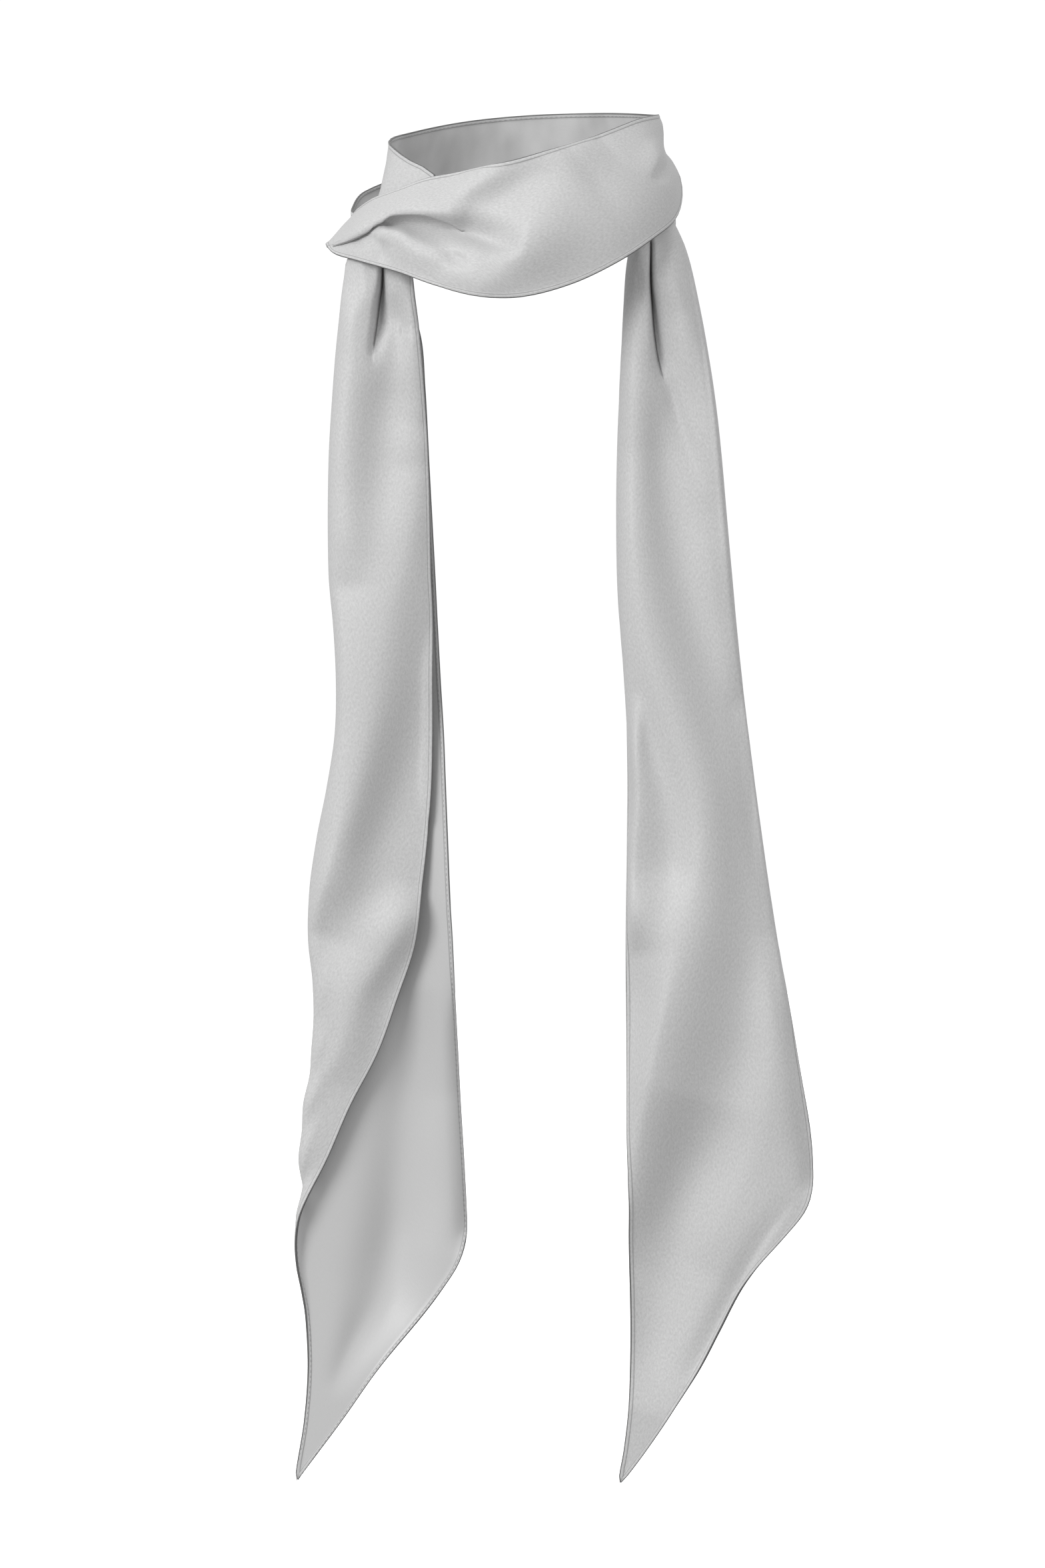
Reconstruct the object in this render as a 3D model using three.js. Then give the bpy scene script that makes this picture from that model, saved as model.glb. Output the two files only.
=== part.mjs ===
// A long, narrow, double-ended cloth scarf, wound one and a half times round a neck, with both ends
// hanging in front. Units are millimetres. +X is the wearer's left (right in a front view), +Y points
// to the back of the neck and +Z points up. The origin is the centre of the neck hollow.
//
// The real scarf is one strip. It is followed here from the tip of the left tail, up to the neck, round
// the neck as the inner turn, across the front as the wide band, round again as the outer turn, and
// down to the tip of the right tail. "Across" runs over the strip's width, from 0 at its top hem to 1
// at its low hem. The strip is cut into three solids where the front band hides the cuts.
import * as THREE from "three";

// Sizes of the cloth
const WALL = 1.2;
const HEM_WALL = 1.9;
const STRIP_WIDTH = 100;
const HEM_SHARE = 3 / STRIP_WIDTH;
const CUT_GAP = 0.4;

// Half the width and half the depth of the neck hollow at the rim of the inner turn
const NECK_HALF_WIDTH = 66;
const NECK_HALF_DEPTH = 58;

// Depth of each tail's flat layer, and of the hanging point that its mesh is placed by
const LEFT_TAIL_Y = -34;
const RIGHT_TAIL_Y = -38;

// How finely the strip is meshed: cells across it, and the length of a cell along each stretch
const CELLS_ACROSS = 14;
const WRAP_CELL = 8.8;
const TAIL_CELL = 13;

// Turns a list of rows into objects with the columns' names.
function table(columns, rows) {
  const names = columns.split(" ");
  return rows.map((row) => Object.fromEntries(names.map((name, i) => [name, row[i]])));
}

// Left tail from its tip upwards: the outline's left and right side, the length of cloth that turns
// over to the front round the left side, and the depth of the loop it turns round.
const LEFT_TAIL = table("z left right over loop", [
  [-640.4, -112.2, -111.2, 0, 8],
  [-637.5, -112.8, -109.2, 0, 8],
  [-611.5, -108.6, -89.8, 1, 8],
  [-585, -106.6, -71, 2, 8],
  [-559, -107.6, -49.5, 3.5, 8],
  [-546, -109.5, -39.8, 5, 8],
  [-533, -111.8, -31.6, 6.2, 8],
  [-520, -112.4, -27.8, 8, 8],
  [-506, -111.6, -28, 11, 8],
  [-480, -110.8, -29.3, 23, 8],
  [-453.5, -108.5, -30.9, 33.3, 9],
  [-427, -104.4, -32.2, 43.9, 10],
  [-401, -103.3, -33.5, 52.2, 10],
  [-375, -105.6, -34.5, 63, 10],
  [-348, -105.2, -35.8, 66.2, 10],
  [-322, -101.6, -36.8, 65.6, 10],
  [-296, -96.4, -37.8, 62.4, 10],
  [-269.5, -92.4, -38.8, 59, 10],
  [-243, -91.8, -40.4, 58.3, 10],
  [-217, -93.1, -41.8, 59.7, 10],
  [-190.5, -95.4, -43.1, 61, 10],
  [-138, -95.4, -45.9, 59.8, 10],
  [-98, -93.1, -48, 55.2, 10],
  [-72, -90.8, -50.5, 51.8, 11],
  [-47.5, -88.1, -60, 47.3, 12],
  [-36, -86.2, -70, 45, 12],
]);

// Right tail from its top downwards: the outline's sides, and the length of cloth that turns behind
// each of them.
const RIGHT_TAIL = table("z left right behindLeft behindRight loop", [
  [-19, 54, 75.3, 7, 10, 10],
  [-28, 52.6, 79.4, 12, 15, 10],
  [-37.3, 51.7, 82.4, 18, 20, 10],
  [-47.2, 50.7, 84.7, 21, 24, 10],
  [-72, 49.4, 89.6, 21, 25, 10],
  [-98.3, 48.1, 93.9, 20, 25, 10],
  [-124.7, 47.1, 97.2, 18, 25, 10],
  [-164, 46.5, 100.8, 16, 24, 9],
  [-203.7, 47.4, 104.4, 14, 22, 8],
  [-243.3, 50.4, 108.4, 11, 19, 8],
  [-282.8, 52.4, 113.3, 8, 16, 8],
  [-322.3, 52.1, 118.6, 5, 13, 8],
  [-362, 51.4, 124.5, 3, 10, 8],
  [-401.4, 51.4, 131.1, 1, 7, 8],
  [-441, 51.7, 138.1, 0, 3, 8],
  [-467.3, 51.7, 142.7, 0, 0, 8],
  [-487, 52.2, 144, 0, 0, 8],
  [-497, 52.4, 143.3, 0, 0, 8],
  [-507, 52.7, 139.4, 0, 0, 8],
  [-520, 52.7, 128.8, 0, 0, 8],
  [-533.2, 53, 117.3, 0, 0, 8],
  [-546.4, 53.4, 108.1, 0, 0, 8],
  [-566.2, 53.7, 97.9, 0, 0, 8],
  [-586, 53.4, 87.6, 0, 0, 8],
  [-605.7, 52.4, 75.1, 0, 0, 8],
  [-625.5, 50.1, 61.6, 0, 0, 8],
  [-638.7, 47.8, 51.7, 0, 0, 8],
  [-641.3, 48.2, 49.2, 0, 0, 8],
]);

// The turns round the neck: for each section the angle round the neck (0 at the front, growing towards
// the left side, 90 there and 180 at the back), how far the hem stands out from the neck hollow and
// its height, at the top hem and at the low hem, and how far the cloth between them bellies out.
const WRAP = table("turn topOut topZ lowTurn lowOut lowZ belly", [
  [43, 1, 6.7, 70, 20, -30, 2],
  [65, -1, 16, 79, 14, -26, 2],
  [90, -2, 24.6, 93, 7, -23, 0],
  [123, 0, 31, 122, 8, -23, 1],
  [155, 1, 37.8, 154, 11, -24, 2],
  [183, 0, 41.2, 184, 10, -24, 3],
  [215, 0, 41.6, 215, 10, -12, 3],
  [238, 0, 40.2, 233, 9, 12, 1],
  [258, 0, 38.6, 246, 13, 15.5, 0],
  [272, 0, 38.3, 263, 12.5, 8, 0],
  [284, 0, 36.8, 281, 14.5, -4, 2],
  [302, 0, 33, 302, 22, -17, 6],
  [322, 1.7, 26.4, 317, 26.5, -27.5, 7],
  [337, 3, 20.2, 331, 29, -39.2, 8],
  [351, 4, 15, 345, 28, -49.8, 8],
  [367, 5.5, 9.5, 360, 28, -56.3, 8],
  [383, 8.5, 5.7, 373, 29.5, -56, 8],
  [397, 11, 2.9, 386, 31, -50.5, 7],
  [409, 13, -1.6, 398, 32, -43.8, 6],
  [423, 16, -5.8, 414, 33, -37.6, 5],
  [436, 17.5, -10, 429, 34, -33, 2],
  [447, 17.5, -11.5, 442, 32.5, -27.5, 0],
  [458, 16.5, -6, 454, 30, -29, 0],
  [474, 17, 3, 472, 29, -32, 3],
  [500, 14, 14, 499, 26, -37, 5],
  [527, 12, 22, 527, 24, -45, 6],
  [555, 12, 20, 555, 24, -38, 6],
  [580, 14, 9, 580, 23, -29, 5],
  [602, 9, 4, 603, 17, -25, 5],
  [628, 0, 1, 627, 12, -20, 4],
  [655, -4, -1, 650, 8, -13, 2],
]);

// Folds of the tails. A fold runs from its upper to its lower end through a middle one, each given by
// its height and place, on the front or the back layer. It is raised towards the viewer by "rise" and
// has its own width on its left and on its right.
const TAIL_FOLDS = table("tail layer z1 x1 z2 x2 z3 x3 widthLeft widthRight rise", [
  ["left", "front", -36, -69, -60, -70, -95, -73, 4, 4, -6],
  ["left", "front", -45, -82, -90, -83, -190, -87, 13, 18, 8],
  ["left", "front", -45, -60, -75, -54, -137, -51, 8, 7, 6],
  ["left", "front", -117, -48, -238, -75, -370, -103, 28, 20, 12],
  ["left", "front", -350, -52, -382, -72, -446, -95, 16, 12, 6],
  ["left", "back", -397, -53, -484, -61, -601, -95, 12, 15, -9],
  ["right", "front", -37, 63, -60, 63.5, -100, 65, 3, 3, -6],
  ["right", "front", -40, 57, -170, 56.5, -302, 87, 11, 16, 12],
  ["right", "front", -236, 67, -337, 89, -531, 44, 15, 24, 15],
  ["right", "front", -40, 77, -105, 93, -256, 108, 13, 16, 9],
  ["right", "front", -250, 56, -317, 55, -380, 57, 5, 13, 7],
  ["right", "front", -370, 127, -437, 126, -539, 90, 14, 20, 6],
  ["right", "front", -454, 95, -521, 74, -607, 54, 25, 22, -8],
]);

// Folds of the front band: from one turn and place across the strip to another, with the width and
// the rise of the ridge (or, below 0, of the valley) between them.
const BAND_FOLDS = table("turn1 across1 turn2 across2 width rise", [
  [446, 0.6, 385, 0.28, 0.13, 6],
  [440, 0.78, 372, 0.52, 0.1, -8],
  [425, 0.7, 385, 0.75, 0.1, 4],
  [335, 0.12, 392, 0.98, 0.2, 6],
  [322, 0.05, 396, 0.22, 0.12, 4],
  [256, 0.62, 312, 0.28, 0.2, -5.5],
]);

const smooth = (t) => t * t * (3 - 2 * t);
const clamp01 = (t) => Math.min(1, Math.max(0, t));
const radians = THREE.MathUtils.degToRad;
const bell = (distance) => Math.exp(-distance * distance);

// A point beside the neck hollow: "out" from its edge at an angle round it, and at a height.
function besideNeck(turn, out, z) {
  const a = radians(turn);
  return new THREE.Vector3(
    -(NECK_HALF_WIDTH + out) * Math.sin(a),
    -(NECK_HALF_DEPTH + out) * Math.cos(a),
    z,
  );
}

// A section of the turns round the neck, as a function of the place across the strip.
function wrapSection(row) {
  const top = besideNeck(row.turn, row.topOut, row.topZ);
  const low = besideNeck(row.lowTurn, row.lowOut, row.lowZ);
  const middle = radians((row.turn + row.lowTurn) / 2);
  const outward = new THREE.Vector3(-Math.sin(middle), -Math.cos(middle), 0);
  return (across) => {
    let belly = row.belly * Math.sin(Math.PI * across);
    for (const fold of BAND_FOLDS) {
      const along = (row.turn - fold.turn1) / (fold.turn2 - fold.turn1);
      const fade = Math.sin(Math.PI * clamp01(along));
      const centre = fold.across1 + (fold.across2 - fold.across1) * along;
      belly += fold.rise * fade * bell((across - centre) / fold.width);
    }
    return top.clone().lerp(low, across).addScaledVector(outward, belly);
  };
}

// How far the folds of one tail lift a point of one layer towards the viewer.
function tailLift(tail, layer, x, z) {
  let lift = 0;
  for (const fold of TAIL_FOLDS) {
    if (fold.tail !== tail || fold.layer !== layer || z > fold.z1 || z < fold.z3) continue;
    const along = (fold.z1 - z) / (fold.z1 - fold.z3);
    const bend = (fold.z1 - fold.z2) / (fold.z1 - fold.z3);
    const centre =
      along < bend
        ? THREE.MathUtils.lerp(fold.x1, fold.x2, along / bend)
        : THREE.MathUtils.lerp(fold.x2, fold.x3, (along - bend) / (1 - bend));
    const width = x < centre ? fold.widthLeft : fold.widthRight;
    lift += fold.rise * Math.sin(Math.PI * along) * bell((x - centre) / width);
  }
  return lift;
}

// A flat layer from left to right, with its margins turned round a loop at each side. "side" is -1
// where they turn to the front and 1 where they turn behind. The lengths of the turned margins are
// given, and the result walks the section from its left margin's end to its right one's.
function turnedSection(left, right, turnLeft, turnRight, radius, side) {
  const arc = Math.PI * radius;
  const reach = (length) => radius * Math.sin(Math.min(length / radius, Math.PI / 2));
  const flatLeft = left + reach(turnLeft);
  const flatRight = right - reach(turnRight);
  const flat = Math.max(0.2, flatRight - flatLeft);
  const total = turnLeft + flat + turnRight;
  const margin = (length) => {
    const angle = Math.min(length, arc) / radius;
    return {
      out: radius * Math.sin(angle) - Math.max(0, length - arc),
      back: side * radius * (1 - Math.cos(angle)),
      around: angle / Math.PI,
    };
  };
  return (part) => {
    const place = part * total;
    if (place < turnLeft) {
      const m = margin(turnLeft - place);
      return { x: flatLeft - m.out, y: m.back, around: m.around };
    }
    if (place > turnLeft + flat) {
      const m = margin(place - turnLeft - flat);
      return { x: flatRight + m.out, y: m.back, around: m.around };
    }
    return { x: flatLeft + place - turnLeft, y: 0, around: 0 };
  };
}

// Left tail: the flat layer lies behind, and its left margin turns over in front of it.
function leftTailSection(row) {
  const walk = turnedSection(row.left, row.right, row.over, 0, row.loop / 2, -1);
  return (across) => {
    const p = walk(across);
    const front = smooth(p.around) * tailLift("left", "front", p.x, row.z);
    const back = (1 - smooth(p.around)) * tailLift("left", "back", p.x, row.z);
    return new THREE.Vector3(p.x, LEFT_TAIL_Y + p.y - front - back, row.z);
  };
}

// Right tail: the flat layer lies in front, and both margins turn behind it.
function rightTailSection(row) {
  const walk = turnedSection(row.left, row.right, row.behindLeft, row.behindRight, row.loop / 2, 1);
  return (across) => {
    const p = walk(across);
    const lift = (1 - smooth(p.around)) * tailLift("right", "front", p.x, row.z);
    return new THREE.Vector3(p.x, RIGHT_TAIL_Y + p.y - lift, row.z);
  };
}

// The place across the left tail where it turns round, kept away from its hems.
function foldPlace(row) {
  const loop = (Math.PI * row.loop) / 2;
  const total = row.over + Math.max(0, row.right - row.left - row.loop / 2);
  return THREE.MathUtils.clamp((row.over - loop / 2) / total, 0.15, 0.6);
}

// The strip's sections in order, each with its place along the strip's middle, and where the middle
// column of cells runs across it.
const sections = [
  ...LEFT_TAIL.map(leftTailSection),
  ...WRAP.map(wrapSection),
  ...RIGHT_TAIL.map(rightTailSection),
];
const middles = [
  ...LEFT_TAIL.map(foldPlace),
  ...WRAP.map(() => 0.5),
  ...RIGHT_TAIL.map(() => 0.5),
];
const places = [0];
for (let i = 1; i < sections.length; i++) {
  places.push(places[i - 1] + sections[i](0.5).distanceTo(sections[i - 1](0.5)));
}

// The section before a place along the strip, and how far the place is on the way to the next one.
function findSpan(along) {
  let i = 0;
  while (i < places.length - 2 && places[i + 1] < along) i++;
  return { i, t: (along - places[i]) / (places[i + 1] - places[i]) };
}

// Where the middle column of cells runs at a place along the strip.
function middleAt(along) {
  const { i, t } = findSpan(along);
  return THREE.MathUtils.lerp(middles[i], middles[i + 1], smooth(clamp01(t)));
}

// A point of the strip, on a smooth curve through the sections on both sides of it.
function stripPoint(along, across) {
  const last = sections.length - 1;
  const { i, t } = findSpan(along);
  const span = places[i + 1] - places[i];
  const p = sections[i](across);
  const q = sections[i + 1](across);
  const slope = (k) => {
    const before = Math.max(0, k - 1);
    const after = Math.min(last, k + 1);
    const rise = sections[after](across).sub(sections[before](across));
    return rise.multiplyScalar(span / (places[after] - places[before]));
  };
  const t2 = t * t;
  const t3 = t2 * t;
  return p
    .multiplyScalar(2 * t3 - 3 * t2 + 1)
    .addScaledVector(slope(i), t3 - 2 * t2 + t)
    .addScaledVector(q, 3 * t2 - 2 * t3)
    .addScaledVector(slope(i + 1), t3 - t2);
}

// The normal of the strip on its outer side.
function stripNormal(along, across) {
  const step = 0.5;
  const side = 0.01;
  const end = places[places.length - 1];
  const a = stripPoint(Math.min(end, along + step), across).sub(
    stripPoint(Math.max(0, along - step), across),
  );
  const b = stripPoint(along, Math.min(1, across + side)).sub(
    stripPoint(along, Math.max(0, across - side)),
  );
  return a.cross(b).normalize();
}

// The closed solid of the strip from one place along it to another, with thicker hems.
function stripSolid(start, end, cell) {
  const steps = Math.round((end - start) / cell);
  const acrossAt = (j, along) => {
    if (j === 0 || j === CELLS_ACROSS) return j / CELLS_ACROSS;
    const part = (2 * (j - 1)) / (CELLS_ACROSS - 2);
    const middle = middleAt(along);
    if (part < 1) return HEM_SHARE + (middle - HEM_SHARE) * part;
    return middle + (1 - HEM_SHARE - middle) * (part - 1);
  };
  const positions = [];
  const columns = CELLS_ACROSS + 1;
  for (let i = 0; i <= steps; i++) {
    const along = start + ((end - start) * i) / steps;
    for (let j = 0; j < columns; j++) {
      const across = acrossAt(j, along);
      const p = stripPoint(along, across);
      const n = stripNormal(along, across);
      const half = (j === 0 || j === CELLS_ACROSS ? HEM_WALL : WALL) / 2;
      positions.push(...p.clone().addScaledVector(n, half));
      positions.push(...p.clone().addScaledVector(n, -half));
    }
  }
  const outer = (i, j) => 2 * (i * columns + j);
  const inner = (i, j) => outer(i, j) + 1;
  const index = [];
  const quad = (a, b, c, d) => index.push(a, b, c, a, c, d);
  for (let i = 0; i < steps; i++) {
    for (let j = 0; j < CELLS_ACROSS; j++) {
      quad(outer(i, j), outer(i + 1, j), outer(i + 1, j + 1), outer(i, j + 1));
      quad(inner(i, j), inner(i, j + 1), inner(i + 1, j + 1), inner(i + 1, j));
    }
    quad(outer(i, 0), inner(i, 0), inner(i + 1, 0), outer(i + 1, 0));
    quad(
      outer(i, CELLS_ACROSS),
      outer(i + 1, CELLS_ACROSS),
      inner(i + 1, CELLS_ACROSS),
      inner(i, CELLS_ACROSS),
    );
  }
  for (let j = 0; j < CELLS_ACROSS; j++) {
    quad(outer(0, j), outer(0, j + 1), inner(0, j + 1), inner(0, j));
    quad(outer(steps, j), inner(steps, j), inner(steps, j + 1), outer(steps, j + 1));
  }
  const geometry = new THREE.BufferGeometry();
  geometry.setAttribute("position", new THREE.Float32BufferAttribute(positions, 3));
  geometry.setIndex(index);
  return geometry;
}

const cloth = new THREE.MeshStandardMaterial({
  name: "satin_cloth",
  color: 0xcfcfcf,
  roughness: 0.5,
  metalness: 0,
  side: THREE.DoubleSide,
});

// A named mesh of one stretch of the strip, placed at the point that it hangs from.
function stretch(name, start, end, cell, hang) {
  const geometry = stripSolid(start, end, cell);
  geometry.translate(-hang.x, -hang.y, -hang.z);
  geometry.computeVertexNormals();
  const mesh = new THREE.Mesh(geometry, cloth);
  mesh.name = name;
  mesh.position.copy(hang);
  return mesh;
}

const leftCut = places[LEFT_TAIL.length - 1];
const rightCut = places[LEFT_TAIL.length + WRAP.length];
const leftHang = new THREE.Vector3(LEFT_TAIL.at(-1).left, LEFT_TAIL_Y, LEFT_TAIL.at(-1).z);
const rightHang = new THREE.Vector3(RIGHT_TAIL[0].left, RIGHT_TAIL_Y, RIGHT_TAIL[0].z);

const scarf = new THREE.Group();
scarf.name = "scarf";
scarf.add(
  stretch("left_tail", 0, leftCut - CUT_GAP / 2, TAIL_CELL, leftHang),
  stretch("neck_wrap", leftCut + CUT_GAP / 2, rightCut - CUT_GAP / 2, WRAP_CELL, new THREE.Vector3()),
  stretch("right_tail", rightCut + CUT_GAP / 2, places.at(-1), TAIL_CELL, rightHang),
);

export default scarf;
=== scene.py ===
"""Visual model of a long narrow scarf, worn round a neck: cloth, hem stitches and a plain studio."""

import math

import bpy
import numpy as np
from bpy.props import FloatProperty, FloatVectorProperty, IntProperty, PointerProperty
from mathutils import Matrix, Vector


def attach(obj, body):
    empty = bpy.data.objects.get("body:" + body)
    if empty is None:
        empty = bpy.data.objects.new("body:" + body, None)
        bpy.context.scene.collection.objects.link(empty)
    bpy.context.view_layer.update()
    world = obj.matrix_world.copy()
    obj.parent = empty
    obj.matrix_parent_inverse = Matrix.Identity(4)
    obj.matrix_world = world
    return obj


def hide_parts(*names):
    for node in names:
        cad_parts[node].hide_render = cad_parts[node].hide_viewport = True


bl_info = {
    "name": "Draped neck scarf",
    "version": (1, 0, 0),
    "blender": (4, 5, 0),
    "location": "View3D > Sidebar > Scarf",
    "description": "Builds a long narrow satin scarf, wound round a neck, with its hem stitches",
    "category": "Object",
}

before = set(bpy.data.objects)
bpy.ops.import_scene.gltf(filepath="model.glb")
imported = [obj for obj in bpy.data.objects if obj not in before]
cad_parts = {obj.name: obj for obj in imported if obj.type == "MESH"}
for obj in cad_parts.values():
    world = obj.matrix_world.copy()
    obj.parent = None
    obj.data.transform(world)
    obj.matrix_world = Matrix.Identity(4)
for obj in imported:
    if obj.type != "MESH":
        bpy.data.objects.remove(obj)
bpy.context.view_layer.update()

MM = 0.001

# Half the width and half the depth of the neck hollow, and the y of each tail's flat layer, as in the
# solids. Lengths are in millimetres where nothing else is said.
NECK_HALF_WIDTH = 66
NECK_HALF_DEPTH = 58
LEFT_TAIL_Y = -34
RIGHT_TAIL_Y = -38


def table(columns, rows):
    """Rows of numbers as dictionaries with the columns' names."""
    names = columns.split()
    return [dict(zip(names, row)) for row in rows]


# Left tail from its tip upwards: the outline's left and right side, the length of cloth that turns
# over to the front round the left side, and the depth of the loop it turns round
LEFT_TAIL = table("z left right over loop", [
    (-640.4, -112.2, -111.2, 0, 8),
    (-637.5, -112.8, -109.2, 0, 8),
    (-611.5, -108.6, -89.8, 1, 8),
    (-585, -106.6, -71, 2, 8),
    (-559, -107.6, -49.5, 3.5, 8),
    (-546, -109.5, -39.8, 5, 8),
    (-533, -111.8, -31.6, 6.2, 8),
    (-520, -112.4, -27.8, 8, 8),
    (-506, -111.6, -28, 11, 8),
    (-480, -110.8, -29.3, 23, 8),
    (-453.5, -108.5, -30.9, 33.3, 9),
    (-427, -104.4, -32.2, 43.9, 10),
    (-401, -103.3, -33.5, 52.2, 10),
    (-375, -105.6, -34.5, 63, 10),
    (-348, -105.2, -35.8, 66.2, 10),
    (-322, -101.6, -36.8, 65.6, 10),
    (-296, -96.4, -37.8, 62.4, 10),
    (-269.5, -92.4, -38.8, 59, 10),
    (-243, -91.8, -40.4, 58.3, 10),
    (-217, -93.1, -41.8, 59.7, 10),
    (-190.5, -95.4, -43.1, 61, 10),
    (-138, -95.4, -45.9, 59.8, 10),
    (-98, -93.1, -48, 55.2, 10),
    (-72, -90.8, -50.5, 51.8, 11),
    (-47.5, -88.1, -60, 47.3, 12),
    (-36, -86.2, -70, 45, 12),
])

# Right tail from its top downwards: the outline's sides, the length of cloth that turns behind each
# of them, and the depth of the loop it turns round
RIGHT_TAIL = table("z left right behind_left behind_right loop", [
    (-15, 54.5, 73, 7, 10, 10),
    (-28, 52.6, 79.4, 12, 15, 10),
    (-37.3, 51.7, 82.4, 18, 20, 10),
    (-47.2, 50.7, 84.7, 21, 24, 10),
    (-72, 49.4, 89.6, 21, 25, 10),
    (-98.3, 48.1, 93.9, 20, 25, 10),
    (-124.7, 47.1, 97.2, 18, 25, 10),
    (-164, 46.5, 100.8, 16, 24, 9),
    (-203.7, 47.4, 104.4, 14, 22, 8),
    (-243.3, 50.4, 108.4, 11, 19, 8),
    (-282.8, 52.4, 113.3, 8, 16, 8),
    (-322.3, 52.1, 118.6, 5, 13, 8),
    (-362, 51.4, 124.5, 3, 10, 8),
    (-401.4, 51.4, 131.1, 1, 7, 8),
    (-441, 51.7, 138.1, 0, 3, 8),
    (-467.3, 51.7, 142.7, 0, 0, 8),
    (-487, 52.2, 144, 0, 0, 8),
    (-497, 52.4, 143.3, 0, 0, 8),
    (-507, 52.7, 139.4, 0, 0, 8),
    (-520, 52.7, 128.8, 0, 0, 8),
    (-533.2, 53, 117.3, 0, 0, 8),
    (-546.4, 53.4, 108.1, 0, 0, 8),
    (-566.2, 53.7, 97.9, 0, 0, 8),
    (-586, 53.4, 87.6, 0, 0, 8),
    (-605.7, 52.4, 75.1, 0, 0, 8),
    (-625.5, 50.1, 61.6, 0, 0, 8),
    (-638.7, 47.8, 51.7, 0, 0, 8),
    (-641.3, 48.2, 49.2, 0, 0, 8),
])

# The turns round the neck: for each section the angle round the neck (0 at the front, growing towards
# the left side), how far each hem stands out from the neck hollow and its height, and how far the
# cloth between them bellies out
WRAP = table("turn top_out top_z low_turn low_out low_z belly", [
    (38, 1, 1, 66, 20, -32, 2),
    (64, -1, 15.5, 79, 14, -26, 2),
    (90, 0.3, 24.6, 93, 7, -23, 0),
    (123, 0, 31, 122, 8, -23, 1),
    (155, 1, 37.8, 154, 11, -24, 2),
    (183, 0, 41.2, 184, 10, -24, 3),
    (215, 0, 41.6, 215, 10, -12, 3),
    (238, 0, 40.2, 233, 9, 12, 1),
    (258, 0.8, 38.3, 246, 13, 15.5, 0),
    (272, 1.2, 37.6, 263, 12.5, 8, 0),
    (284, 0.5, 36.2, 281, 14.5, -4, 2),
    (302, 0, 33, 302, 22, -17, 6),
    (322, 1.7, 26.4, 317, 26.5, -27.5, 7),
    (337, 3, 20.2, 331, 29, -39.2, 8),
    (351, 4, 15, 345, 28, -49.8, 8),
    (367, 5.5, 9.5, 360, 28, -56.3, 8),
    (383, 8.5, 5.7, 373, 29.5, -56, 8),
    (397, 11, 2.9, 386, 31, -50.5, 7),
    (409, 13, -1.6, 398, 32, -43.8, 6),
    (423, 16, -5.8, 414, 33, -37.6, 5),
    (436, 17.5, -10, 429, 34, -33, 2),
    (447, 17.5, -11.5, 442, 32.5, -27.5, 0),
    (458, 20, -8, 454, 30, -29, -4),
    (474, 21, 1.5, 472, 29, -32, -3),
    (500, 17, 12.5, 499, 26, -37, 0),
    (527, 12, 20, 527, 24, -45, 6),
    (555, 12, 20, 555, 24, -38, 6),
    (580, 14, 9, 580, 23, -29, 5),
    (602, 9, 4, 603, 17, -25, 5),
    (628, 0, 1, 627, 9, -16, 3),
    (655, -4, 0, 650, 6, -10, 2),
])

# Bumps and dips of the turns: from one turn and place across the strip to another, with their width
# across it and their rise
WRAP_FOLDS = table("turn1 across1 turn2 across2 width rise", [
    (248, 0.16, 292, 0.1, 0.1, 0.8),
    (250, 0.76, 292, 0.36, 0.17, -4.2),
    (452, 0.4, 512, 0.4, 0.22, -7),
])

# Where the camera stands, in millimetres: its distance from the point of the axis that it looks at,
# that point's height, and its angle above the horizon in degrees
VIEW_DISTANCE = 3300
VIEW_CENTRE = -296
VIEW_ANGLE = 2

# The lip of the band's roll: how far it hangs over its crease, how far the cloth under it is tucked
# in and how deep it lies there, and how far from the crease each goes. The two columns of cells at
# the crease are twice TOUCH apart.
OVERHANG = 1
OVERHANG_WIDTH = 6
TUCK = 1.6
TUCK_DEPTH = 3.5
TUCK_WIDTH = 3.5
TOUCH = 0.05
FORWARD = np.array([0, -1, 0])

# The turns between which the band has its folds, and those between which its crease is cut, and how
# fast the folds fade where the cloth turns away from the front
BAND_TURNS = (285, 475)
CREASE_TURNS = (340, 462)
FACING_RAMP = 2.5

# How far from the end of a tail its folds fade out under the band, and how near to a row of cells
# and how high a crease has to be to guide it
FOLD_FADE = 30
NEAR = 4
LEAST_RISE = 0.05

# Length of the cells along the left tail, inner turn, front band, outer turn and right tail
CELL_LENGTHS = (3.4, 7, 2.6, 7, 3.4)

# Columns of cells in and beside a hem, as shares of its width, and the one that the stitches follow
HEM_COLUMNS = np.array([0, 0.2, 0.45, 0.75, 1, 1.2])
STITCH_COLUMN = 3

# Smallest and largest stitch, as shares of the usual size
STITCH_SIZES = (0.85, 1.1)

# Columns of cells up to the first guiding place across the strip, from it to the second, and on to
# the other hem. As shares of the width: where the places are in the turns, how close they come to
# each other and to a hem, and the widest hem
COLUMN_COUNTS = (22, 22, 24)
USUAL_GUIDES = (0.36, 0.66)
GUIDE_GAP = 0.03
WIDEST_HEM = 0.12

# Shares of a hem's width: how much of it is rounded, where it ends and how wide its inner step is
HEM_ROUNDED = 0.28
HEM_END = 1.12
HEM_STEP = 0.2

# Painted shade along the hems: how far it reaches from the edge, in metres, and the brightness at shares
# of that, first a dark line of painted shade at the rolled edge and then one in the groove at the hem's
# inner side
HEM_SHADE_REACH = 0.0024
HEM_PAINTED_SHADE = [(0, 0.2), (0.17, 0.3), (0.28, 1), (0.72, 1), (0.79, 0.62), (0.87, 0.62), (0.97, 1)]

# Waves of the cloth's noise per metre, across and along the strip, and the slant of its grain
GRAIN_SCALE = (1000, 600, 1)
GRAIN_SLANT = 38
# Waves per metre of the soft clouds of painted sheen, lighter and darker patches standing in for satin
# reflections
SHEEN_CLOUD_SCALE = (28, 42, 1)

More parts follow.
